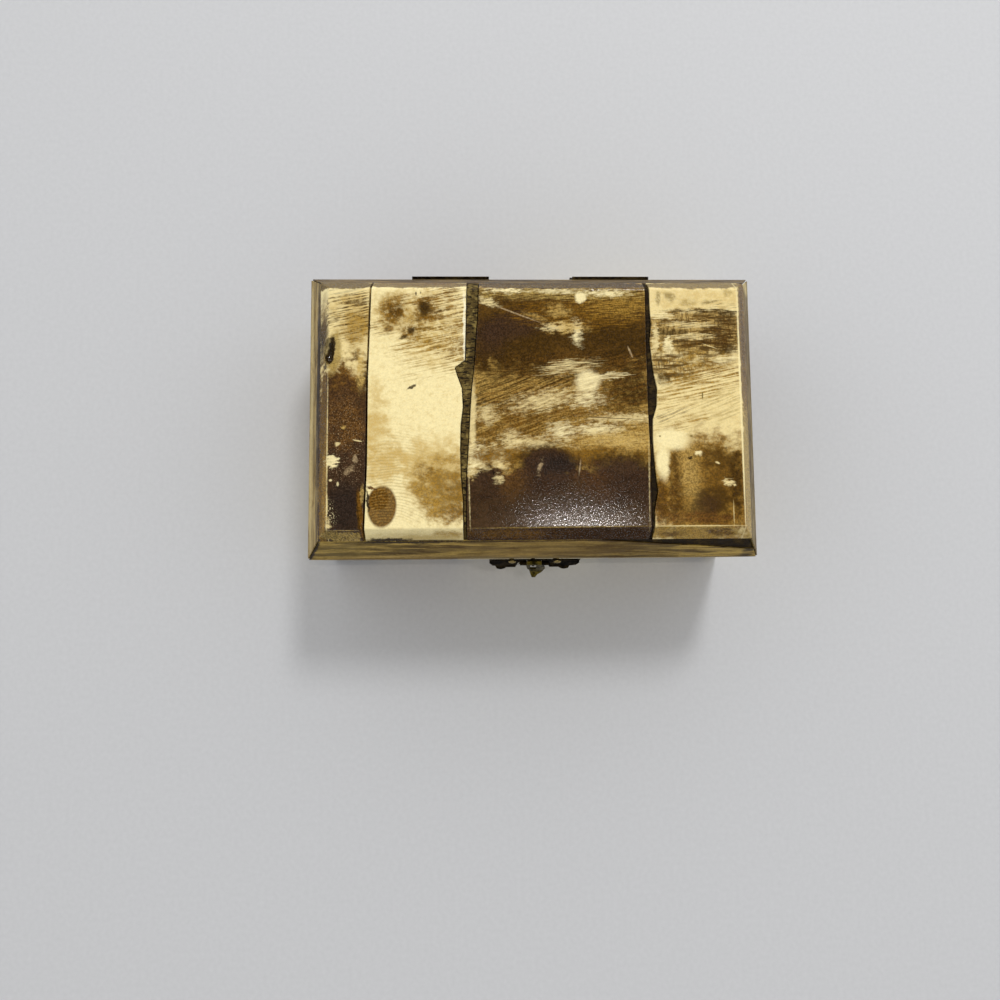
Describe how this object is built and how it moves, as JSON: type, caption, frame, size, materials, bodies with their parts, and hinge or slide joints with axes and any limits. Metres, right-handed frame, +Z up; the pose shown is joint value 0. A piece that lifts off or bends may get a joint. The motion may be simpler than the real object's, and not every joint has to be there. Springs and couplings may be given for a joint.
{
  "type": "trinket box",
  "caption": "Small wooden keepsake box faced with bone plates, with a bevelled lid on back hinges and a brass hasp with a swinging tongue at the front.",
  "frame": {"origin": "centre of the underside of the base board", "axes": "+X to the right seen from the front, -Y to the front, where the hasp is, +Z up"},
  "size_m": [0.1, 0.0707, 0.0408],
  "materials": {
    "cream_bone": "polished pale bone with fine saw marks",
    "brown_bone": "bone stained dark brown, scraped back in places, satin",
    "tan_bone": "bone with a tan stain along the grain, satin",
    "dark_filler": "dark resin filler, slightly rough",
    "bare_wood": "bare sawn hardwood",
    "aged_brass": "tarnished brass sheet and castings",
    "bright_brass": "brass pins, worn bright on their heads"
  },
  "bodies": {
    "box": {"base_board": "bare_wood", "bone_back_left": "brown_bone", "bone_back_right": "cream_bone", "bone_front_left": "brown_bone", "bone_front_middle": "cream_bone", "bone_front_right": "tan_bone", "bone_left_back": "tan_bone", "bone_left_front": "cream_bone", "bone_right_back": "brown_bone", "bone_right_front": "cream_bone", "hasp_body_nail_left": "bright_brass", "hasp_body_nail_right": "bright_brass", "hasp_body_plate": "aged_brass", "hasp_staple": "aged_brass", "hinge_left_body_leaf": "aged_brass", "hinge_left_body_nail_a": "bright_brass", "hinge_left_body_nail_b": "bright_brass", "hinge_left_pin": "bright_brass", "hinge_right_body_leaf": "aged_brass", "hinge_right_body_nail_a": "bright_brass", "hinge_right_body_nail_b": "bright_brass", "hinge_right_pin": "bright_brass", "seam_back": "dark_filler", "seam_front_left": "dark_filler", "seam_front_right": "dark_filler", "seam_left": "dark_filler", "seam_right": "dark_filler", "wall_back": "bare_wood", "wall_front": "bare_wood", "wall_left": "bare_wood", "wall_right": "bare_wood"},
    "lid": {"hasp_lid_nail_left": "bright_brass", "hasp_lid_nail_right": "bright_brass", "hasp_lid_plate": "aged_brass", "hasp_pin": "bright_brass", "hinge_left_lid_leaf": "aged_brass", "hinge_left_lid_nail_a": "bright_brass", "hinge_left_lid_nail_b": "bright_brass", "hinge_right_lid_leaf": "aged_brass", "hinge_right_lid_nail_a": "bright_brass", "hinge_right_lid_nail_b": "bright_brass", "joint_filler_left": "dark_filler", "joint_filler_right": "dark_filler", "lid_board": "bare_wood", "lid_rail_back": "bare_wood", "lid_rail_front": "bare_wood", "lid_rail_left": "bare_wood", "lid_rail_right": "bare_wood", "rim_filler_front": "dark_filler", "rim_strip_back": "tan_bone", "rim_strip_front": "tan_bone", "rim_strip_left": "tan_bone", "rim_strip_right": "tan_bone", "top_plate_1": "brown_bone", "top_plate_2": "cream_bone", "top_plate_3": "brown_bone", "top_plate_4": "tan_bone"},
    "tongue": {"hasp_tongue": "aged_brass"}
  },
  "joints": [
    {"name": "lid_hinge", "type": "hinge", "parent": "box", "child": "lid", "pos_m": [0, 0.03325, 0.02415], "axis": [-1, 0, 0], "range_deg": [0, 170]},
    {"name": "hasp_hinge", "type": "hinge", "parent": "lid", "child": "tongue", "pos_m": [0.0003, -0.03275, 0.0255], "axis": [-1, 0, 0], "range_deg": [-14, 155]}
  ]
}
